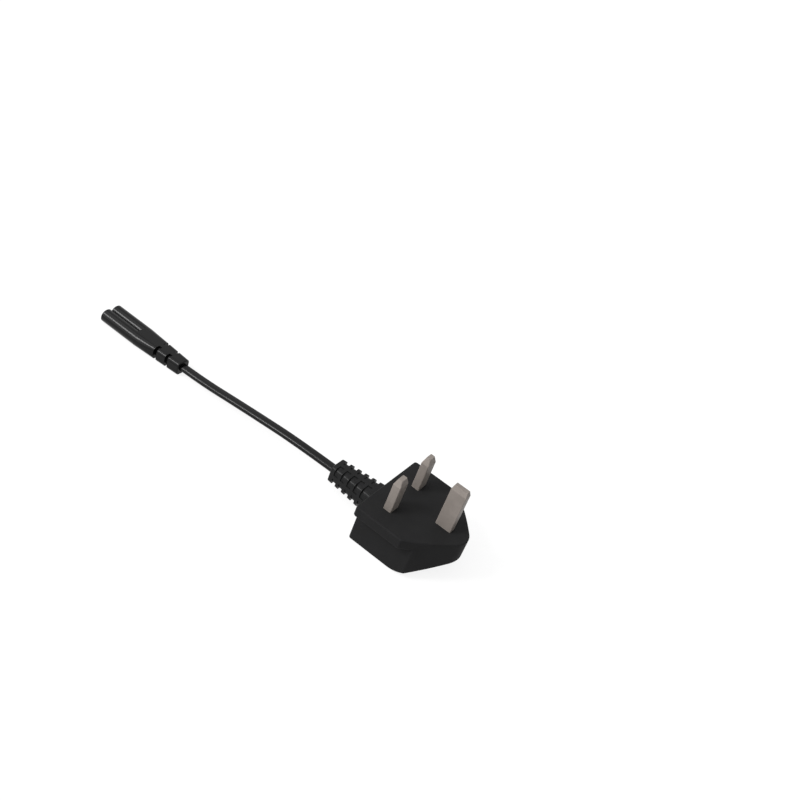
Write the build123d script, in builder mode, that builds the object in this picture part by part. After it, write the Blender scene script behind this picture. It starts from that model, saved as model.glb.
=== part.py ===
from build123d import *
from math import radians, tan
import os

# Short power cord: a moulded three-pin plug with a ribbed strain relief, a short flat
# cord and a figure-eight appliance connector.
# The plug lies on its back, pins up. Origin: on the floor, in the plug's plane of symmetry,
# straight below the line between the live and neutral pins. The earth pin is toward +Y
# and the cord leaves toward -Y. All lengths are in millimetres.

# Pins, to the standard sheet for thirteen-ampere plugs
pin_spacing = 22.2
earth_offset = 22.2
side_pin_width = 6.35
side_pin_thickness = 4.0
side_pin_reach = 17.7
side_pin_tip_length = 3.2
side_pin_tip_inset = (1.3, 0.9)
earth_pin_width = 4.0
earth_pin_thickness = 8.0
earth_pin_reach = 23.2
earth_pin_tip_length = 2.4
earth_pin_tip_inset = (0.9, 0.6)
pin_edge_round = 0.35
pin_root_depth = 7.4
pin_shoulder_height = 1.4
pin_shoulder_margin = 0.9
pin_shoulder_lift = 1.2
pin_fit = 0.05

# Plug body: a thin flange at the pin face and a narrower grip behind it
body_depth = 23.0
flange_half_width = 23.6
flange_thickness = 5.5
flange_corner_radius = 1.4
flange_slant_round = 0.9
flange_face_round = 0.6
flange_under_round = 1.1
cord_side_y = -10.3
slant_start_y = 14.4
slant_middle_x = 14.6
slant_middle_y = 24.3
slant_end_x = 5.5
slant_end_y = 32.3
nose_y = 34.3
grip_half_width = 19.1
grip_inset = 0.1
grip_corner_radius = 1.0
grip_slant_round = 1.4
grip_edge_round = 1.3
grip_into_flange = 1.8
back_flat_end_y = 15.4
back_slope_deg = 31.8
back_bend_radius = 14.0

# Strain relief: five windows on each of its four corners, between four rails
relief_overlap = 1.0
relief_end_y = -36.3
relief_root_half_width = 7.1
relief_root_half_height = 5.9
relief_root_radius = 2.1
relief_end_half_width = 4.7
relief_end_half_height = 4.6
relief_end_radius = 1.6
relief_end_round = 0.6
window_count = 5
window_pitch = 4.05
window_length = 2.4
first_window_y = -15.25
window_depth = 0.45
window_floor_rounding = 1.6
rail_half_width = 1.0

# Cord: two insulated cores side by side in a flat sheath
cord_axis_height = 10.42
cord_width = 4.9
cord_thickness = 3.0
cord_fit = 0.05
core_offset = 0.96
core_radius = 0.93
core_clearance = 0.05
conductor_radius = 0.46
conductor_clearance = 0.03
core_stop_gap = 0.3

# Figure-eight connector, lying on the floor
connector_front_y = -185.7
connector_rear_y = -133.6
contact_spacing = 8.6
lobe_radius = 3.5
lobe_half_height = 3.55
lobe_offset = 3.25
groove_floor = 1.7
groove_end_y = -164.0
taper_start_y = -162.0
taper_middle_y = -155.5
taper_middle_half_width = 6.1
taper_middle_radius = 3.1
tail_start_y = -148.4
tail_start_half_width = 4.95
tail_end_half_width = 3.9
tail_corner_radius = 1.9
tail_end_round = 0.5
front_round = 0.4
slot_count = 2
slot_pitch = 7.3
slot_length = 2.0
first_slot_y = -147.6
slot_rail_half_width = 1.3
slot_core_half_width = 3.3
slot_core_half_height = 2.5
slot_core_radius = 1.8

# Inside the connector: a hard insert and two sleeve contacts
insert_wall = 0.7
insert_rear_y = -166.0
insert_fit = 0.05
contact_bore_radius = 1.25
contact_wall = 0.2
contact_fit = 0.03
contact_setback = 1.5
contact_throat_radius = 1.3
contact_mouth_radius = 1.75
contact_bore_length = 15.5
contact_floor = 1.0
crimp_wall = 0.35
crimp_length = 4.5
crimp_bore_length = 3.8
crimp_grip = 0.02

# Inside the plug: a hard pin carrier, the fuse and its clips, and the wire terminals
carrier_skin = 2.4
carrier_thickness = 4.0
carrier_half_width = 16.0
carrier_half_length = 5.0
carrier_tongue_half_width = 4.6
carrier_tongue_end_y = 28.2
carrier_corner_radius = 1.0
inner_fit = 0.08
fuse_radius = 3.15
fuse_length = 25.4
fuse_cap_length = 5.5
fuse_cap_wall = 0.3
fuse_tube_bore = 1.9
fuse_wire_radius = 0.2
fuse_fit = 0.02
fuse_x = -10.4
fuse_start_y = -4.0
fuse_axis_height = 11.2
clip_wall = 0.5
clip_length = 4.0
clip_mouth_width = 4.4
clip_stem_half_width = 1.6
strap_thickness = 0.5
strap_width = 2.4
live_crimp_x = -4.2
live_crimp_y = 10.0
neutral_crimp_x = 5.6

# Route of the cord in the plane of symmetry: distance along Y, then height
cord_points = [
    (-14.0, cord_axis_height),
    (-53.0, cord_axis_height),
    (-92.1, 7.0),
    (-124.0, lobe_half_height),
    (-145.0, lobe_half_height),
]
bend_share = 0.45
core_spread_y = -149.0
core_spread_length = 8.0
live_core_bend_near_y = -2.0
live_core_bend_far_y = 3.5

# Places that follow from the sizes above
face_z = body_depth
flange_bottom = face_z - flange_thickness
carrier_top = face_z - carrier_skin
carrier_bottom = carrier_top - carrier_thickness
pin_bottom = face_z - pin_root_depth
half_pins = pin_spacing / 2
live_place = (-half_pins, 0.0)
neutral_place = (half_pins, 0.0)
earth_place = (0.0, earth_offset)
relief_root_y = cord_side_y + grip_inset + relief_overlap
fuse_end_y = fuse_start_y + fuse_length
clip_radius = fuse_radius + fuse_fit + clip_wall
near_clip_y = fuse_start_y + fuse_cap_length / 2
far_clip_y = fuse_end_y - fuse_cap_length / 2
crimp_bore = conductor_radius + crimp_grip
crimp_radius = crimp_bore + crimp_wall
connector_height = lobe_half_height
half_contact = contact_spacing / 2
contact_radius = contact_bore_radius + contact_wall
contact_start_y = connector_front_y + contact_setback
contact_bore_end_y = contact_start_y + contact_bore_length
contact_end_y = contact_bore_end_y + contact_floor + crimp_length
core_end_y = contact_end_y + core_stop_gap
conductor_end_y = contact_end_y - crimp_bore_length

os.makedirs("parts", exist_ok=True)


def save(builder, label):
    builder.part.label = label
    export_step(builder.part, f"parts/{label}.step")


def across(y, height, x=0.0):
    """Plane square to the cord; its normal points toward -Y and its y axis points up."""
    return Plane(origin=(x, y, height), x_dir=(1, 0, 0), z_dir=(0, -1, 0))


def corner_radii(points):
    """For each corner of a route, the largest arc that the runs beside it leave room for."""
    radii = []
    for before, corner, after in zip(points, points[1:], points[2:]):
        run_in = Vector(*corner) - Vector(*before)
        run_out = Vector(*after) - Vector(*corner)
        half_turn = radians(run_in.get_angle(run_out)) / 2
        radii.append(bend_share * min(run_in.length, run_out.length) / tan(half_turn))
    return radii


# Pins: a straight bar with a tapered tip, and a shoulder that the carrier holds

def pin_shape(place, width, thickness, reach, tip_length, tip_inset, grow=0.0):
    x, y = place
    tip_base = face_z + reach - tip_length
    wide = width + 2 * grow
    thick = thickness + 2 * grow
    margin = 2 * pin_shoulder_margin
    inset_x, inset_y = tip_inset
    with BuildPart() as shape:
        with BuildSketch(Plane((x, y, pin_bottom))):
            RectangleRounded(wide, thick, pin_edge_round + grow)
        extrude(amount=tip_base - pin_bottom)
        with BuildSketch(Plane((x, y, tip_base))):
            RectangleRounded(wide, thick, pin_edge_round + grow)
        with BuildSketch(Plane((x, y, face_z + reach))):
            RectangleRounded(wide - 2 * inset_x, thick - 2 * inset_y, pin_edge_round)
        loft(ruled=True)
        with BuildSketch(Plane((x, y, carrier_bottom + pin_shoulder_lift - grow))):
            Rectangle(wide + margin, thick + margin)
        extrude(amount=pin_shoulder_height + 2 * grow)
    return shape


side_pin = (side_pin_width, side_pin_thickness, side_pin_reach, side_pin_tip_length, side_pin_tip_inset)
earth_pin_sizes = (earth_pin_width, earth_pin_thickness, earth_pin_reach, earth_pin_tip_length,
                   earth_pin_tip_inset)
pins = {
    "live_pin": (live_place, side_pin),
    "neutral_pin": (neutral_place, side_pin),
    "earth_pin": (earth_place, earth_pin_sizes),
}
for name, (place, sizes) in pins.items():
    save(pin_shape(place, *sizes), name)
pin_rooms = [pin_shape(place, *sizes, grow=pin_fit).part for place, sizes in pins.values()]


# Pin carrier: a hard T-shaped plate moulded round the roots of the three pins

def carrier_outline(plan, grow=0.0):
    tongue_length = carrier_tongue_end_y + carrier_half_length
    Rectangle(2 * (carrier_half_width + grow), 2 * (carrier_half_length + grow))
    with Locations((0, carrier_tongue_end_y - tongue_length / 2)):
        Rectangle(2 * (carrier_tongue_half_width + grow), tongue_length + 2 * grow)
    fillet(plan.vertices(), radius=carrier_corner_radius)


with BuildPart() as pin_carrier:
    with BuildSketch(Plane.XY.offset(carrier_bottom)) as carrier_plan:
        carrier_outline(carrier_plan)
    extrude(amount=carrier_thickness)
    for room in pin_rooms:
        add(room, mode=Mode.SUBTRACT)
save(pin_carrier, "pin_carrier")


# Fuse: ceramic tube, two end caps and the wire between them

fuse_tube_plane = across(fuse_end_y - fuse_cap_wall, fuse_axis_height, fuse_x)
cap_bore = fuse_radius - fuse_cap_wall

with BuildPart() as fuse_tube:
    with BuildSketch(fuse_tube_plane):
        Circle(cap_bore - fuse_fit)
        Circle(fuse_tube_bore, mode=Mode.SUBTRACT)
    extrude(amount=fuse_length - 2 * fuse_cap_wall)
save(fuse_tube, "fuse_tube")

with BuildPart() as fuse_wire:
    with BuildSketch(fuse_tube_plane):
        Circle(fuse_wire_radius)
    extrude(amount=fuse_length - 2 * fuse_cap_wall)
save(fuse_wire, "fuse_wire")


def fuse_cap(closed_y, toward):
    """Cup over one end of the tube; its closed end is at closed_y, its rim lies toward the middle."""
    with BuildPart() as cap:
        with BuildSketch(across(closed_y, fuse_axis_height, fuse_x)):
            Circle(fuse_radius)
        extrude(amount=-toward * fuse_cap_length)
        with BuildSketch(across(closed_y + toward * fuse_cap_wall, fuse_axis_height, fuse_x)):
            Circle(cap_bore)
        extrude(amount=-toward * (fuse_cap_length - fuse_cap_wall), mode=Mode.SUBTRACT)
    return cap


save(fuse_cap(fuse_start_y, 1), "fuse_cap_near")
save(fuse_cap(fuse_end_y, -1), "fuse_cap_far")


# Fuse clips: open rings that grip the caps

def clip_ring(middle_y):
    with BuildSketch(across(middle_y + clip_length / 2, fuse_axis_height, fuse_x)) as ring:
        Circle(clip_radius)
        Circle(fuse_radius + fuse_fit, mode=Mode.SUBTRACT)
        with Locations((0, -clip_radius)):
            Rectangle(clip_mouth_width, 2 * clip_radius - fuse_radius, mode=Mode.SUBTRACT)
    extrude(ring.sketch, amount=clip_length)


with BuildPart() as fuse_clip_live_pin:
    clip_ring(near_clip_y)
    stem_base = fuse_axis_height + fuse_radius + clip_wall / 2
    with BuildSketch(Plane((fuse_x, near_clip_y, stem_base))):
        Rectangle(2 * clip_stem_half_width, clip_length)
    extrude(amount=pin_bottom - stem_base)
save(fuse_clip_live_pin, "fuse_clip_live_pin")

strap_end_y = far_clip_y + clip_length / 2
strap_start_y = live_crimp_y + crimp_bore_length
with BuildPart() as fuse_clip_cord:
    clip_ring(far_clip_y)
    with BuildSketch(Plane((live_crimp_x, far_clip_y, cord_axis_height))):
        strap_reach = live_crimp_x - fuse_x - fuse_radius - fuse_fit
        with Locations((-strap_reach / 2, 0)):
            Rectangle(strap_reach, clip_length)
        with Locations((0, (strap_start_y + strap_end_y) / 2 - far_clip_y)):
            Rectangle(strap_width, strap_end_y - strap_start_y)
    extrude(amount=strap_thickness / 2, both=True)
    with BuildSketch(across(live_crimp_y + crimp_length, cord_axis_height, live_crimp_x)):
        Circle(crimp_radius)
    extrude(amount=crimp_length)
    with BuildSketch(across(live_crimp_y + crimp_bore_length, cord_axis_height, live_crimp_x)):
        Circle(crimp_bore)
    extrude(amount=crimp_bore_length, mode=Mode.SUBTRACT)
save(fuse_clip_cord, "fuse_clip_cord")


# Neutral terminal: a tab under the neutral pin, bent down to a crimp barrel

neutral_strap_x = neutral_crimp_x + crimp_length
neutral_plane = Plane(origin=(neutral_crimp_x, 0, cord_axis_height), x_dir=(0, 1, 0), z_dir=(1, 0, 0))
with BuildPart() as neutral_terminal:
    with BuildSketch(Plane.XZ) as strap_side:
        with BuildLine():
            Polyline(
                (neutral_strap_x, cord_axis_height - crimp_radius),
                (neutral_strap_x, pin_bottom),
                (half_pins + strap_width, pin_bottom),
                (half_pins + strap_width, pin_bottom - strap_thickness),
                (neutral_strap_x + strap_thickness, pin_bottom - strap_thickness),
                (neutral_strap_x + strap_thickness, cord_axis_height - crimp_radius),
                close=True,
            )
        make_face()
    extrude(amount=strap_width / 2, both=True)
    with BuildSketch(neutral_plane):
        Circle(crimp_radius)
    extrude(amount=crimp_length)
    with BuildSketch(neutral_plane):
        Circle(crimp_bore)
    extrude(amount=crimp_bore_length, mode=Mode.SUBTRACT)
save(neutral_terminal, "neutral_terminal")


# Cord: one sheath, and in it two cores that run on into the plug and the connector

cord_radii = corner_radii(cord_points)
print("cord corner radii", [round(radius, 1) for radius in cord_radii])


def tube(points, radii, section):
    """Straight runs joined by tangent arcs, swept with a section drawn by a function."""
    with BuildPart() as shape:
        with BuildLine() as path:
            FilletPolyline(*points, radius=radii)
        start = Vector(*points[0])
        heading = Vector(*points[1]) - start
        side = Vector(1, 0, 0) if abs(heading.X) < abs(heading.Y) else Vector(0, 1, 0)
        with BuildSketch(Plane(origin=start, x_dir=side, z_dir=heading)):
            section()
        sweep(path=path.line)
    return shape


def sheath_section():
    SlotOverall(cord_width, cord_thickness)
    SlotOverall(2 * (core_offset + core_radius + core_clearance), 2 * (core_radius + core_clearance),
                mode=Mode.SUBTRACT)


sheath_points = [(0, y, height) for y, height in cord_points]
save(tube(sheath_points, cord_radii, sheath_section), "cord_sheath")


def core_route(side, plug_points, end_y):
    """One core's route, from its terminal in the plug to its contact in the connector."""
    return (
        plug_points
        + [(side * core_offset, y, height) for y, height in cord_points[1:-1]]
        + [
            (side * core_offset, core_spread_y, connector_height),
            (side * half_contact, core_spread_y - core_spread_length, connector_height),
            (side * half_contact, end_y, connector_height),
        ]
    )


def core_radii(route):
    """The bends inside the sheath are the sheath's own."""
    radii = corner_radii(route)
    first = len(radii) - len(cord_radii) - 2
    radii[first : first + len(cord_radii)] = cord_radii
    return radii


def live_route(start_y, end_y):
    plug_points = [
        (live_crimp_x, start_y, cord_axis_height),
        (live_crimp_x, live_core_bend_far_y, cord_axis_height),
        (-core_offset, live_core_bend_near_y, cord_axis_height),
    ]
    return core_route(-1, plug_points, end_y)


def neutral_route(start_x, end_y):
    plug_points = [(start_x, 0, cord_axis_height), (core_offset, 0, cord_axis_height)]
    return core_route(1, plug_points, end_y)


def insulation_section():
    Circle(core_radius)
    Circle(conductor_radius + conductor_clearance, mode=Mode.SUBTRACT)


def conductor_section():
    Circle(conductor_radius)


def core_room_section():
    Circle(core_radius + core_clearance)


def save_core(side_name, insulation_route, conductor_route):
    radii = core_radii(insulation_route)
    save(tube(insulation_route, radii, insulation_section), f"{side_name}_core_insulation")
    save(tube(conductor_route, radii, conductor_section), f"{side_name}_conductor")
    return tube(insulation_route, radii, core_room_section).part


live_core = live_route(live_crimp_y - core_stop_gap, core_end_y)
neutral_core = neutral_route(neutral_crimp_x - core_stop_gap, core_end_y)
live_wire = live_route(live_crimp_y + crimp_bore_length, conductor_end_y)
neutral_wire = neutral_route(neutral_crimp_x + crimp_bore_length, conductor_end_y)
core_rooms = [
    save_core("live", live_core, live_wire),
    save_core("neutral", neutral_core, neutral_wire),
]


# Sleeve contacts: turned shape with a bore for the appliance pin and a crimp barrel behind

def contact(x):
    centre = Plane((x, 0, connector_height))
    with BuildPart() as shape:
        with BuildSketch(centre):
            with BuildLine():
                Polyline(
                    (contact_bore_radius, contact_start_y),
                    (contact_radius, contact_start_y),
                    (contact_radius, contact_bore_end_y + contact_floor),
                    (crimp_radius, contact_bore_end_y + contact_floor),
                    (crimp_radius, contact_end_y),
                    (crimp_bore, contact_end_y),
                    (crimp_bore, conductor_end_y),
                    (0, conductor_end_y),
                    (0, contact_bore_end_y),
                    (contact_bore_radius, contact_bore_end_y),
                    close=True,
                )
            make_face()
        revolve(axis=Axis((x, 0, connector_height), (0, 1, 0)))
    return shape


save(contact(-half_contact), "live_contact")
save(contact(half_contact), "neutral_contact")


# Connector insert: a hard figure-eight block with a stepped hole for each contact

def figure_eight(grow=0.0):
    """Two lobes and the web between them; grow is added all round."""
    with Locations((-lobe_offset, 0), (lobe_offset, 0)):
        RectangleRounded(2 * (lobe_half_height + grow), 2 * (lobe_half_height + grow), lobe_radius + grow)
    Rectangle(2 * lobe_offset, 2 * (groove_floor + grow))


with BuildPart() as connector_insert:
    with BuildSketch(across(insert_rear_y, connector_height)):
        figure_eight(-insert_wall)
    extrude(amount=insert_rear_y - connector_front_y)
    with BuildSketch(across(insert_rear_y, connector_height)):
        with Locations((-half_contact, 0), (half_contact, 0)):
            Circle(contact_radius + contact_fit)
    extrude(amount=insert_rear_y - contact_start_y, mode=Mode.SUBTRACT)
    mouth_middle_y = connector_front_y + contact_setback / 2
    for x in (-half_contact, half_contact):
        with Locations((x, mouth_middle_y, connector_height)):
            Cone(contact_throat_radius, contact_mouth_radius, contact_setback, rotation=(90, 0, 0),
                 mode=Mode.SUBTRACT)
save(connector_insert, "connector_insert")


# Connector body: grooved front, waist that narrows to a slotted tail round the cord

def body_section(y, half_width, radius):
    with BuildSketch(across(y, connector_height)) as section:
        RectangleRounded(2 * half_width, 2 * lobe_half_height, radius)
    return section.sketch.face()


front_section = body_section(taper_start_y, lobe_offset + lobe_half_height, lobe_radius)
middle_section = body_section(taper_middle_y, taper_middle_half_width, taper_middle_radius)
tail_section = body_section(tail_start_y, tail_start_half_width, tail_corner_radius)
rear_section = body_section(connector_rear_y, tail_end_half_width, tail_corner_radius)

with BuildPart() as connector_body:
    with BuildSketch(across(groove_end_y, connector_height)):
        figure_eight()
    extrude(amount=groove_end_y - connector_front_y)
    fillet(connector_body.faces().sort_by(Axis.Y)[0].edges(), radius=front_round)
    extrude(front_section, amount=taper_start_y - groove_end_y)
    loft([front_section, middle_section, tail_section])
    loft([tail_section, rear_section], ruled=True)
    fillet(connector_body.faces().sort_by(Axis.Y)[-1].edges(), radius=tail_end_round)
    for index in range(slot_count):
        with BuildSketch(across(first_slot_y + index * slot_pitch, connector_height)):
            Rectangle(3 * lobe_offset + 2 * lobe_half_height, 3 * lobe_half_height)
            Rectangle(2 * slot_rail_half_width, 3 * lobe_half_height, mode=Mode.SUBTRACT)
            RectangleRounded(2 * slot_core_half_width, 2 * slot_core_half_height, slot_core_radius,
                             mode=Mode.SUBTRACT)
        extrude(amount=slot_length, mode=Mode.SUBTRACT)
    with BuildSketch(across(insert_rear_y + insert_fit, connector_height)):
        figure_eight(insert_fit - insert_wall)
    extrude(amount=insert_rear_y + insert_fit - connector_front_y, mode=Mode.SUBTRACT)
    with BuildSketch(across(core_end_y, connector_height)):
        with Locations((-half_contact, 0), (half_contact, 0)):
            Circle(crimp_radius + insert_fit)
    extrude(amount=core_end_y - contact_bore_end_y, mode=Mode.SUBTRACT)
    with BuildSketch(across(contact_bore_end_y + contact_floor + insert_fit, connector_height)):
        with Locations((-half_contact, 0), (half_contact, 0)):
            Circle(contact_radius + insert_fit)
    extrude(amount=contact_floor + contact_bore_length / 2, mode=Mode.SUBTRACT)
    with BuildSketch(across(connector_rear_y, connector_height)):
        SlotOverall(cord_width + 2 * cord_fit, cord_thickness + 2 * cord_fit)
    extrude(amount=connector_rear_y - cord_points[-1][0] + cord_fit, mode=Mode.SUBTRACT)
    for room in core_rooms:
        add(room, mode=Mode.SUBTRACT)
save(connector_body, "connector_body")


# Plug body: flange, grip and strain relief in one moulding

def plug_outline():
    """Straight sides, two slants that bow out a little, and a round nose round the earth pin."""
    with BuildLine() as outline:
        edge = Line((0, cord_side_y), (flange_half_width, cord_side_y))
        side = Line(edge @ 1, (flange_half_width, slant_start_y))
        ThreePointArc(side @ 1, (slant_middle_x, slant_middle_y), (slant_end_x, slant_end_y))
        mirror(about=Plane.YZ)
        ThreePointArc((slant_end_x, slant_end_y), (0, nose_y), (-slant_end_x, slant_end_y))
    make_face(outline.edges())


def upright_edges_near(builder, x, y, reach):
    """Vertical edges within reach of a place and of its mirror image."""
    upright = builder.edges().filter_by(Axis.Z)
    return upright.filter_by(lambda edge: abs(abs(edge.center().X) - x) < reach
                             and abs(edge.center().Y - y) < reach)


with BuildPart() as flange:
    with BuildSketch(Plane.XY.offset(flange_bottom)):
        plug_outline()
    extrude(amount=flange_thickness)
    fillet(upright_edges_near(flange, flange_half_width, cord_side_y, 1), radius=flange_corner_radius)
    fillet(upright_edges_near(flange, flange_half_width, slant_start_y, 1), radius=flange_slant_round)
    fillet(flange.faces().sort_by(Axis.Z)[0].edges(), radius=flange_under_round)
    fillet(flange.faces().sort_by(Axis.Z)[-1].edges(), radius=flange_face_round)

with BuildPart() as grip:
    with BuildSketch():
        plug_outline()
        with Locations((0, cord_side_y + grip_inset)):
            Rectangle(2 * grip_half_width, 2 * nose_y, align=(Align.CENTER, Align.MIN),
                      mode=Mode.INTERSECT)
    extrude(amount=flange_bottom + grip_into_flange)
    fillet(upright_edges_near(grip, grip_half_width, cord_side_y + grip_inset, 1), radius=grip_corner_radius)
    slant_corners = grip.edges().filter_by(Axis.Z).filter_by(
        lambda edge: edge.center().Y > slant_start_y
        and abs(abs(edge.center().X) - grip_half_width) < grip_slant_round)
    fillet(slant_corners, radius=grip_slant_round)
    with BuildSketch(Plane.YZ) as back_slope:
        with BuildLine():
            slope_run = 2 * (nose_y - back_flat_end_y)
            slope_top = (back_flat_end_y + slope_run, slope_run * tan(radians(back_slope_deg)))
            flat_start = (back_flat_end_y - slope_run / 2, 0)
            FilletPolyline(flat_start, (back_flat_end_y, 0), slope_top, radius=back_bend_radius)
            Polyline(slope_top, (slope_top[0], -1), (flat_start[0], -1), flat_start)
        make_face()
    extrude(amount=flange_half_width, both=True, mode=Mode.SUBTRACT)
    back_edges = ShapeList()
    for face in grip.faces().filter_by(lambda face: face.normal_at().Z < -0.5):
        back_edges.extend(face.edges())
    outer = [edge for edge in back_edges if sum(edge.is_same(other) for other in back_edges) == 1]
    fillet(outer, radius=grip_edge_round)


def relief_face(y, inset=0.0, rounding=0.0):
    """Section of the tapered relief at y, drawn in all round by the inset, its corners rounder."""
    share = (relief_root_y - y) / (relief_root_y - relief_end_y)
    half_width = relief_root_half_width + share * (relief_end_half_width - relief_root_half_width) - inset
    half_height = relief_root_half_height + share * (relief_end_half_height - relief_root_half_height) - inset
    radius = relief_root_radius + share * (relief_end_radius - relief_root_radius) - inset + rounding
    with BuildSketch(across(y, cord_axis_height)) as section:
        RectangleRounded(2 * half_width, 2 * half_height, radius)
    return section.sketch.face()


with BuildPart() as relief_windows:
    for index in range(window_count):
        with BuildSketch(across(first_window_y - index * window_pitch, cord_axis_height)):
            Rectangle(3 * relief_root_half_width, 3 * relief_root_half_width)
            Rectangle(2 * rail_half_width, 3 * relief_root_half_width, mode=Mode.SUBTRACT)
            Rectangle(3 * relief_root_half_width, 2 * rail_half_width, mode=Mode.SUBTRACT)
        extrude(amount=window_length)
    loft([relief_face(y, window_depth, window_floor_rounding) for y in (relief_root_y, relief_end_y)],
         ruled=True, mode=Mode.SUBTRACT)

with BuildPart() as plug_body:
    add(flange.part)
    add(grip.part)
    loft([relief_face(relief_root_y), relief_face(relief_end_y)], ruled=True)
    fillet(plug_body.faces().sort_by(Axis.Y)[0].edges(), radius=relief_end_round)
    add(relief_windows.part, mode=Mode.SUBTRACT)
    with BuildSketch(Plane.XY.offset(carrier_bottom - inner_fit)) as carrier_room:
        carrier_outline(carrier_room, inner_fit)
    extrude(amount=carrier_thickness + 2 * inner_fit, mode=Mode.SUBTRACT)
    for room in pin_rooms:
        add(room, mode=Mode.SUBTRACT)
    for room in core_rooms:
        add(room, mode=Mode.SUBTRACT)
    with BuildSketch(across(cord_points[0][0] + cord_fit, cord_axis_height)):
        SlotOverall(cord_width + 2 * cord_fit, cord_thickness + 2 * cord_fit)
    extrude(amount=cord_points[0][0] + cord_fit - relief_end_y, mode=Mode.SUBTRACT)
    with BuildSketch(across(fuse_end_y + inner_fit, fuse_axis_height, fuse_x)):
        Circle(clip_radius + inner_fit)
    extrude(amount=fuse_length + 2 * inner_fit, mode=Mode.SUBTRACT)
    with BuildSketch(Plane((fuse_x, near_clip_y, fuse_axis_height))):
        Rectangle(2 * (clip_stem_half_width + inner_fit), clip_length + 2 * inner_fit)
    extrude(amount=carrier_bottom - fuse_axis_height, mode=Mode.SUBTRACT)
    strap_room = 2 * (crimp_radius + inner_fit)
    with BuildSketch(Plane((0, 0, cord_axis_height - strap_room / 2))):
        with Locations(((fuse_x + live_crimp_x + strap_width / 2) / 2, far_clip_y)):
            Rectangle(live_crimp_x + strap_width / 2 - fuse_x + inner_fit, clip_length + 2 * inner_fit)
        live_room_start = live_crimp_y - core_stop_gap
        live_room_end = strap_end_y + inner_fit
        with Locations((live_crimp_x, (live_room_start + live_room_end) / 2)):
            Rectangle(strap_width + 2 * inner_fit, live_room_end - live_room_start)
    extrude(amount=strap_room, mode=Mode.SUBTRACT)
    neutral_room_start = neutral_crimp_x - core_stop_gap
    neutral_room_end = half_pins + strap_width + inner_fit
    with BuildSketch(Plane((0, 0, cord_axis_height - strap_room / 2))):
        with Locations(((neutral_room_start + neutral_room_end) / 2, 0)):
            Rectangle(neutral_room_end - neutral_room_start, strap_width + 2 * inner_fit)
    extrude(amount=carrier_bottom - cord_axis_height + strap_room / 2, mode=Mode.SUBTRACT)
save(plug_body, "plug_body")
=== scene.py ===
from math import cos, pi, sin
import bmesh
import bpy
from mathutils import Matrix, Vector


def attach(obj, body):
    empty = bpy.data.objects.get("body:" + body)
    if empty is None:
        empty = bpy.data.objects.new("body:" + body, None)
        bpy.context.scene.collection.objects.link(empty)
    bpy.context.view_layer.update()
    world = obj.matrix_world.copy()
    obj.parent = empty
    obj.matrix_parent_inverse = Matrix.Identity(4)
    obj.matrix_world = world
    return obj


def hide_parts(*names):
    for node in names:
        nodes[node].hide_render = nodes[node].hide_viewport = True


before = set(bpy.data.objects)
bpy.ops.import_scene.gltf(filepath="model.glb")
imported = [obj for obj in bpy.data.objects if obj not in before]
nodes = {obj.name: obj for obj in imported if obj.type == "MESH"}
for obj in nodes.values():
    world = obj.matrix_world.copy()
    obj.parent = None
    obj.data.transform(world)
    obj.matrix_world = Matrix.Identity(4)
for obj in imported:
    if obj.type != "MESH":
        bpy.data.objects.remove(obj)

# A short power cord on a pale table: a wall plug on its back, a flat cord and a figure-eight
# connector. Metres throughout; +Y points to the earth pin and the cord leaves toward -Y.

scene = bpy.context.scene
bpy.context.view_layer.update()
MM = 0.001

# Camera: the place and the directions from which the photograph was taken
camera_place = Vector((305.5, 107.1, 302.9)) * MM
camera_forward = Vector((-0.7505, -0.3099, -0.5837)).normalized()
camera_right_hint = Vector((-0.5534, 0.7775, 0.2987))
camera_lens = 43.456
camera_sensor = 36.0

# Cord: the route's points as distance along Y and height, both in the plane of symmetry
cord_route = [(-14.0, 10.42), (-53.0, 10.42), (-92.1, 7.0), (-124.0, 3.55), (-145.0, 3.55)]
cord_width = 4.9 * MM
cord_thickness = 3.0 * MM

# Strain relief: where it leaves the plug's rear wall, along Y
relief_root = -10.4 * MM
relief_gloss_blend = 0.3 * MM

# Lamps: a soft key for even light, and a small glint that draws the lines of shine along the
# connector and the cord. world_light is the world's strength where it lights a matt surface.
world_light = 0.35
key_toward = (0.54, -0.37, 0.76)
key_strength = 2.1
key_angle = 1.6
glint_toward = (0.58, -0.49, 0.65)
glint_strength = 1.45
glint_angle = 0.27

# Table: its colour range, and the white that the camera sees laid over it
table_half_size = 4
table_dark = (0.58, 0.58, 0.58)
table_pale = (0.62, 0.62, 0.62)
veil_strength = 1.22
veil_share = 0.7


# Camera

def add_camera():
    data = bpy.data.cameras.new("camera")
    data.lens = camera_lens
    data.sensor_width = camera_sensor
    data.clip_start = 1 * MM
    data.clip_end = 10
    camera = bpy.data.objects.new("camera", data)
    scene.collection.objects.link(camera)
    up = camera_right_hint.cross(camera_forward).normalized()
    right = camera_forward.cross(up)
    turn = Matrix((right, up, -camera_forward)).transposed().to_4x4()
    camera.matrix_world = Matrix.Translation(camera_place) @ turn
    scene.camera = camera


add_camera()


# Cord: a flat oval tube along one smooth line

def smooth_line():
    """Points along the spline that has the route's points as its control points."""
    curve = bpy.data.curves.new("cord_line", "CURVE")
    curve.dimensions = "3D"
    curve.resolution_u = 24
    spline = curve.splines.new("NURBS")
    spline.points.add(len(cord_route) - 1)
    for place, (y, height) in zip(spline.points, cord_route):
        place.co = (0, y * MM, height * MM, 1)
    spline.order_u = 3
    spline.use_endpoint_u = True
    line = bpy.data.objects.new("cord_line", curve)
    scene.collection.objects.link(line)
    bpy.context.view_layer.update()
    mesh = bpy.data.meshes.new_from_object(line)
    points = [vertex.co.copy() for vertex in mesh.vertices]
    bpy.data.objects.remove(line)
    bpy.data.meshes.remove(mesh)
    bpy.data.curves.remove(curve)
    return points


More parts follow.
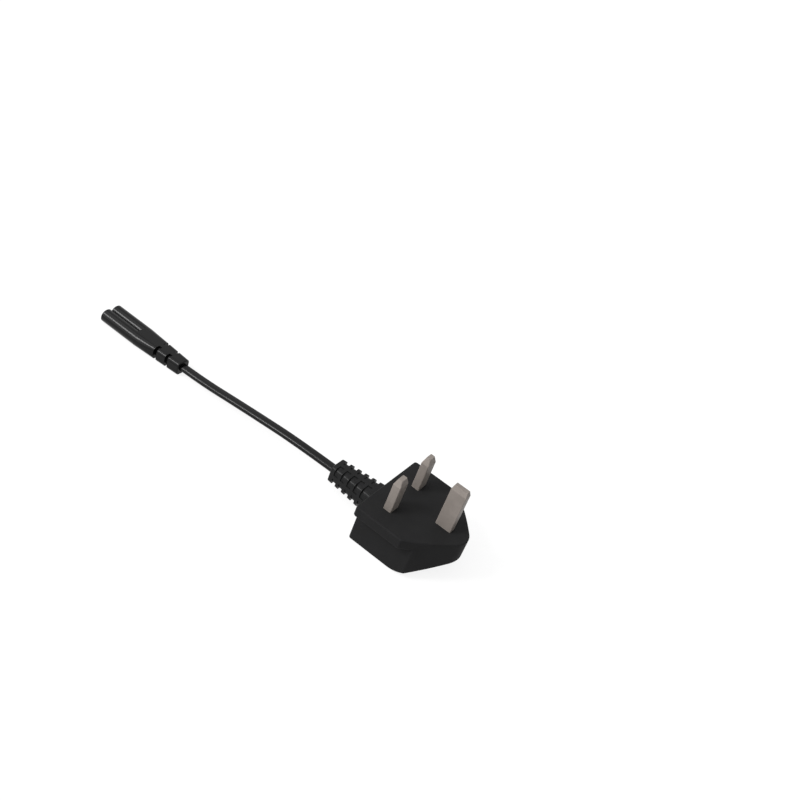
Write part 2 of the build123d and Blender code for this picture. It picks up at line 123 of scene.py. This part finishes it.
def flat_oval(width, thickness, steps=10):
    """Outline with two straight sides and two half-round ends, as (across, up) pairs."""
    radius = thickness / 2
    outline = []
    for side in (1, -1):
        for step in range(steps + 1):
            angle = pi * (step / steps - 0.5)
            reach = width / 2 - radius + radius * cos(angle)
            outline.append((side * reach, side * radius * sin(angle)))
    return outline


def add_cord():
    points = smooth_line()
    outline = flat_oval(cord_width, cord_thickness)
    across = Vector((1, 0, 0))
    spots = []
    for index, point in enumerate(points):
        along = points[min(index + 1, len(points) - 1)] - points[max(index - 1, 0)]
        up = along.cross(across).normalized()
        up = up if up.z > 0 else -up
        spots.extend(point + across * wide + up * high for wide, high in outline)
    count = len(outline)
    faces = [tuple(range(count)), tuple(range(len(spots) - 1, len(spots) - count - 1, -1))]
    for ring in range(len(points) - 1):
        for step in range(count):
            here, after = ring * count + step, ring * count + (step + 1) % count
            faces.append((here, here + count, after + count, after))
    mesh = bpy.data.meshes.new("cord")
    mesh.from_pydata(spots, [], faces)
    mesh.update()
    builder = bmesh.new()
    builder.from_mesh(mesh)
    bmesh.ops.recalc_face_normals(builder, faces=builder.faces)
    builder.to_mesh(mesh)
    builder.free()
    for polygon in mesh.polygons:
        polygon.use_smooth = len(polygon.vertices) == 4
    cord = bpy.data.objects.new("cord", mesh)
    scene.collection.objects.link(cord)
    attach(cord, "root")
    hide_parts("cord_sheath")
    return cord


cord = add_cord()


# Materials: each is a shader fed by textures in object coordinates, which are the row's own

class Surface:
    """A node material under construction, with short calls for the nodes that it uses."""

    def __init__(self, name):
        self.material = bpy.data.materials.new(name)
        self.material.use_nodes = True
        self.tree = self.material.node_tree
        self.shader = self.tree.nodes["Principled BSDF"]
        self.place = self.add("ShaderNodeTexCoord").outputs["Object"]

    def add(self, kind, **settings):
        node = self.tree.nodes.new(kind)
        for key, value in settings.items():
            setattr(node, key, value)
        return node

    def link(self, source, target):
        self.tree.links.new(source, target)

    def set(self, **values):
        for key, value in values.items():
            self.shader.inputs[key.replace("_", " ")].default_value = value

    def stretched(self, factors):
        mapping = self.add("ShaderNodeMapping")
        mapping.inputs["Scale"].default_value = factors
        self.link(self.place, mapping.inputs["Vector"])
        return mapping.outputs["Vector"]

    def noise(self, size, detail=4.0, roughness=0.55, factors=(1, 1, 1)):
        """Noise whose features are about that many metres across."""
        node = self.add("ShaderNodeTexNoise")
        node.inputs["Scale"].default_value = 1 / size
        node.inputs["Detail"].default_value = detail
        node.inputs["Roughness"].default_value = roughness
        self.link(self.stretched(factors), node.inputs["Vector"])
        return node.outputs["Fac"]

    def ramp(self, fac, low, high):
        """From one colour to the other over the middle of the noise's range."""
        node = self.add("ShaderNodeValToRGB")
        for stop, place, value in zip(node.color_ramp.elements, (0.3, 0.7), (low, high)):
            stop.position = place
            stop.color = (*value, 1)
        self.link(fac, node.inputs["Fac"])
        return node.outputs["Color"]

    def colour(self, fac, low, high):
        self.link(self.ramp(fac, low, high), self.shader.inputs["Base Color"])

    def roughness(self, fac, low, high):
        self.link(self.ramp(fac, (low,) * 3, (high,) * 3), self.shader.inputs["Roughness"])

    def duller_past(self, y, extra):
        """Adds that much roughness on the +Y side of y, over a short blend."""
        split = self.add("ShaderNodeSeparateXYZ")
        self.link(self.place, split.inputs[0])
        side = self.add("ShaderNodeMapRange")
        side.inputs["From Min"].default_value = y - relief_gloss_blend
        side.inputs["From Max"].default_value = y + relief_gloss_blend
        side.inputs["To Max"].default_value = extra
        self.link(split.outputs["Y"], side.inputs["Value"])
        total = self.add("ShaderNodeMath", operation="ADD")
        socket = self.shader.inputs["Roughness"]
        self.link(socket.links[0].from_socket, total.inputs[0])
        self.link(side.outputs["Result"], total.inputs[1])
        self.link(total.outputs[0], socket)

    def bump(self, height, depth):
        node = self.add("ShaderNodeBump")
        node.inputs["Distance"].default_value = depth
        self.link(height, node.inputs["Height"])
        self.link(node.outputs["Normal"], self.shader.inputs["Normal"])


def moulded(name, dark, pale, grain, grain_depth, gloss, shine=0.5, cloud=6 * MM, dull=None):
    """Moulded plastic: fine grain, and a slow cloudy change of colour and of gloss. Where dull is
    given, it is a place along Y and the roughness that is added past it."""
    surface = Surface(name)
    clouds = surface.noise(cloud)
    fine = surface.noise(grain, detail=3.0)
    surface.colour(clouds, dark, pale)
    surface.roughness(surface.noise(cloud / 2), *gloss)
    if dull:
        surface.duller_past(*dull)
    surface.bump(fine, grain_depth)
    surface.set(IOR=1.5, Specular_IOR_Level=shine)
    return surface.material


def metal(name, dark, pale, gloss, streaks=(1, 1, 0.08), streak_size=0.6 * MM, depth=0.006 * MM,
          metallic=1.0, shine=0.5):
    """Metal with fine drawn streaks and slow dull patches."""
    surface = Surface(name)
    lines = surface.noise(streak_size, factors=streaks)
    patches = surface.noise(5 * MM)
    surface.colour(patches, dark, pale)
    surface.roughness(lines, *gloss)
    surface.bump(lines, depth)
    surface.set(Metallic=metallic, Specular_IOR_Level=shine)
    return surface.material


def strands(name, dark, pale):
    """Bare stranded copper: thin lines along the cord."""
    surface = Surface(name)
    lines = surface.noise(0.16 * MM, factors=(1, 0.06, 1))
    surface.colour(lines, dark, pale)
    surface.roughness(lines, 0.28, 0.42)
    surface.bump(lines, 0.02 * MM)
    surface.set(Metallic=1.0)
    return surface.material


plug_plastic = moulded("plug_plastic", (0.0140, 0.0140, 0.0143), (0.0166, 0.0166, 0.0169),
                       0.12 * MM, 0.004 * MM, (0.22, 0.28), shine=0.055,
                       dull=(relief_root, 0.38))
gloss_black = ((0.0038, 0.0038, 0.0040), (0.0052, 0.0052, 0.0055))
connector_plastic = moulded("connector_plastic", *gloss_black,
                            0.25 * MM, 0.0005 * MM, (0.18, 0.22), shine=0.15)
insert_plastic = moulded("insert_plastic", (0.009, 0.009, 0.010), (0.012, 0.012, 0.013),
                         0.20 * MM, 0.005 * MM, (0.35, 0.45), shine=0.10)
cord_plastic = moulded("cord_plastic", *gloss_black,
                       0.30 * MM, 0.0005 * MM, (0.18, 0.22), shine=0.15)
carrier_plastic = moulded("carrier_plastic", (0.56, 0.55, 0.51), (0.66, 0.65, 0.61),
                          0.15 * MM, 0.008 * MM, (0.42, 0.55))
fuse_ceramic = moulded("fuse_ceramic", (0.72, 0.68, 0.60), (0.80, 0.77, 0.70),
                       0.10 * MM, 0.010 * MM, (0.28, 0.40))
live_core_plastic = moulded("live_core_plastic", (0.17, 0.075, 0.035), (0.22, 0.10, 0.05),
                            0.2 * MM, 0.004 * MM, (0.32, 0.42))
neutral_core_plastic = moulded("neutral_core_plastic", (0.04, 0.12, 0.38), (0.06, 0.16, 0.46),
                               0.2 * MM, 0.004 * MM, (0.32, 0.42))
pin_metal = metal("pin_metal", (0.215, 0.190, 0.172), (0.245, 0.217, 0.197), (0.42, 0.52),
                  metallic=0.06, shine=0.15)
fuse_cap_metal = metal("fuse_cap_metal", (0.56, 0.54, 0.50), (0.66, 0.64, 0.60), (0.22, 0.34),
                       streaks=(1, 0.3, 1))
clip_brass = metal("clip_brass", (0.62, 0.46, 0.22), (0.74, 0.57, 0.30), (0.26, 0.38))
contact_brass = metal("contact_brass", (0.64, 0.50, 0.28), (0.76, 0.62, 0.37), (0.20, 0.32),
                      streaks=(1, 0.1, 1))
fuse_wire_metal = strands("fuse_wire_metal", (0.60, 0.56, 0.50), (0.74, 0.70, 0.64))
conductor_copper = strands("conductor_copper", (0.58, 0.28, 0.16), (0.80, 0.46, 0.30))

finishes = {
    "plug_body": plug_plastic,
    "connector_body": connector_plastic,
    "connector_insert": insert_plastic,
    "live_contact": contact_brass,
    "neutral_contact": contact_brass,
    "cord_sheath": cord_plastic,
    "live_pin": pin_metal,
    "neutral_pin": pin_metal,
    "earth_pin": pin_metal,
    "pin_carrier": carrier_plastic,
    "fuse_tube": fuse_ceramic,
    "fuse_wire": fuse_wire_metal,
    "fuse_cap_near": fuse_cap_metal,
    "fuse_cap_far": fuse_cap_metal,
    "fuse_clip_live_pin": clip_brass,
    "fuse_clip_cord": clip_brass,
    "neutral_terminal": clip_brass,
    "live_core_insulation": live_core_plastic,
    "neutral_core_insulation": neutral_core_plastic,
    "live_conductor": conductor_copper,
    "neutral_conductor": conductor_copper,
}
for name, material in finishes.items():
    for slot in nodes[name].material_slots:
        slot.material = material
cord.data.materials.append(cord_plastic)


# Table, world and lamps

def background_rays(tree):
    """1 for the rays that show the background: of the camera, of gloss and of clear pieces."""
    path = tree.nodes.new("ShaderNodeLightPath")
    total = path.outputs["Is Camera Ray"]
    for kind in ("Is Glossy Ray", "Is Transmission Ray"):
        most = tree.nodes.new("ShaderNodeMath")
        most.operation = "MAXIMUM"
        tree.links.new(total, most.inputs[0])
        tree.links.new(path.outputs[kind], most.inputs[1])
        total = most.outputs[0]
    return total


def add_table():
    """Matt pale floor; the camera sees it lifted to white, with the shadow left faint on it."""
    size = table_half_size
    mesh = bpy.data.meshes.new("table")
    mesh.from_pydata([(-size, -size, 0), (size, -size, 0), (size, size, 0), (-size, size, 0)], [],
                     [(0, 1, 2, 3)])
    table = bpy.data.objects.new("table", mesh)
    scene.collection.objects.link(table)
    surface = Surface("table")
    surface.colour(surface.noise(60 * MM), table_dark, table_pale)
    surface.set(Roughness=0.9, Specular_IOR_Level=0.1)
    veil = surface.add("ShaderNodeEmission")
    veil.inputs["Strength"].default_value = veil_strength
    seen = surface.add("ShaderNodeMixShader")
    seen.inputs["Fac"].default_value = veil_share
    surface.link(surface.shader.outputs[0], seen.inputs[1])
    surface.link(veil.outputs[0], seen.inputs[2])
    mix = surface.add("ShaderNodeMixShader")
    surface.link(background_rays(surface.tree), mix.inputs["Fac"])
    surface.link(surface.shader.outputs[0], mix.inputs[1])
    surface.link(seen.outputs[0], mix.inputs[2])
    surface.link(mix.outputs[0], surface.tree.nodes["Material Output"].inputs["Surface"])
    mesh.materials.append(surface.material)


def add_world():
    """Gentle light on matt surfaces; white where the background itself is seen or mirrored."""
    world = bpy.data.worlds.new("world")
    scene.world = world
    world.use_nodes = True
    tree = world.node_tree
    tree.nodes.clear()
    lit = tree.nodes.new("ShaderNodeBackground")
    lit.inputs["Color"].default_value = (1, 1, 1, 1)
    lit.inputs["Strength"].default_value = world_light
    plain = tree.nodes.new("ShaderNodeBackground")
    plain.inputs["Color"].default_value = (1, 1, 1, 1)
    plain.inputs["Strength"].default_value = 1
    mix = tree.nodes.new("ShaderNodeMixShader")
    out = tree.nodes.new("ShaderNodeOutputWorld")
    tree.links.new(background_rays(tree), mix.inputs[0])
    tree.links.new(lit.outputs[0], mix.inputs[1])
    tree.links.new(plain.outputs[0], mix.inputs[2])
    tree.links.new(mix.outputs[0], out.inputs[0])


def add_sun(name, toward, strength, angle):
    """Even light from one side; toward points from the object to the light."""
    data = bpy.data.lights.new(name, "SUN")
    data.energy = strength
    data.angle = angle
    lamp = bpy.data.objects.new(name, data)
    scene.collection.objects.link(lamp)
    lamp.rotation_mode = "QUATERNION"
    lamp.rotation_quaternion = Vector(toward).to_track_quat("Z", "Y")


add_table()
add_world()
add_sun("key", key_toward, key_strength, key_angle)
add_sun("glint", glint_toward, glint_strength, glint_angle)
scene.view_settings.view_transform = "Standard"
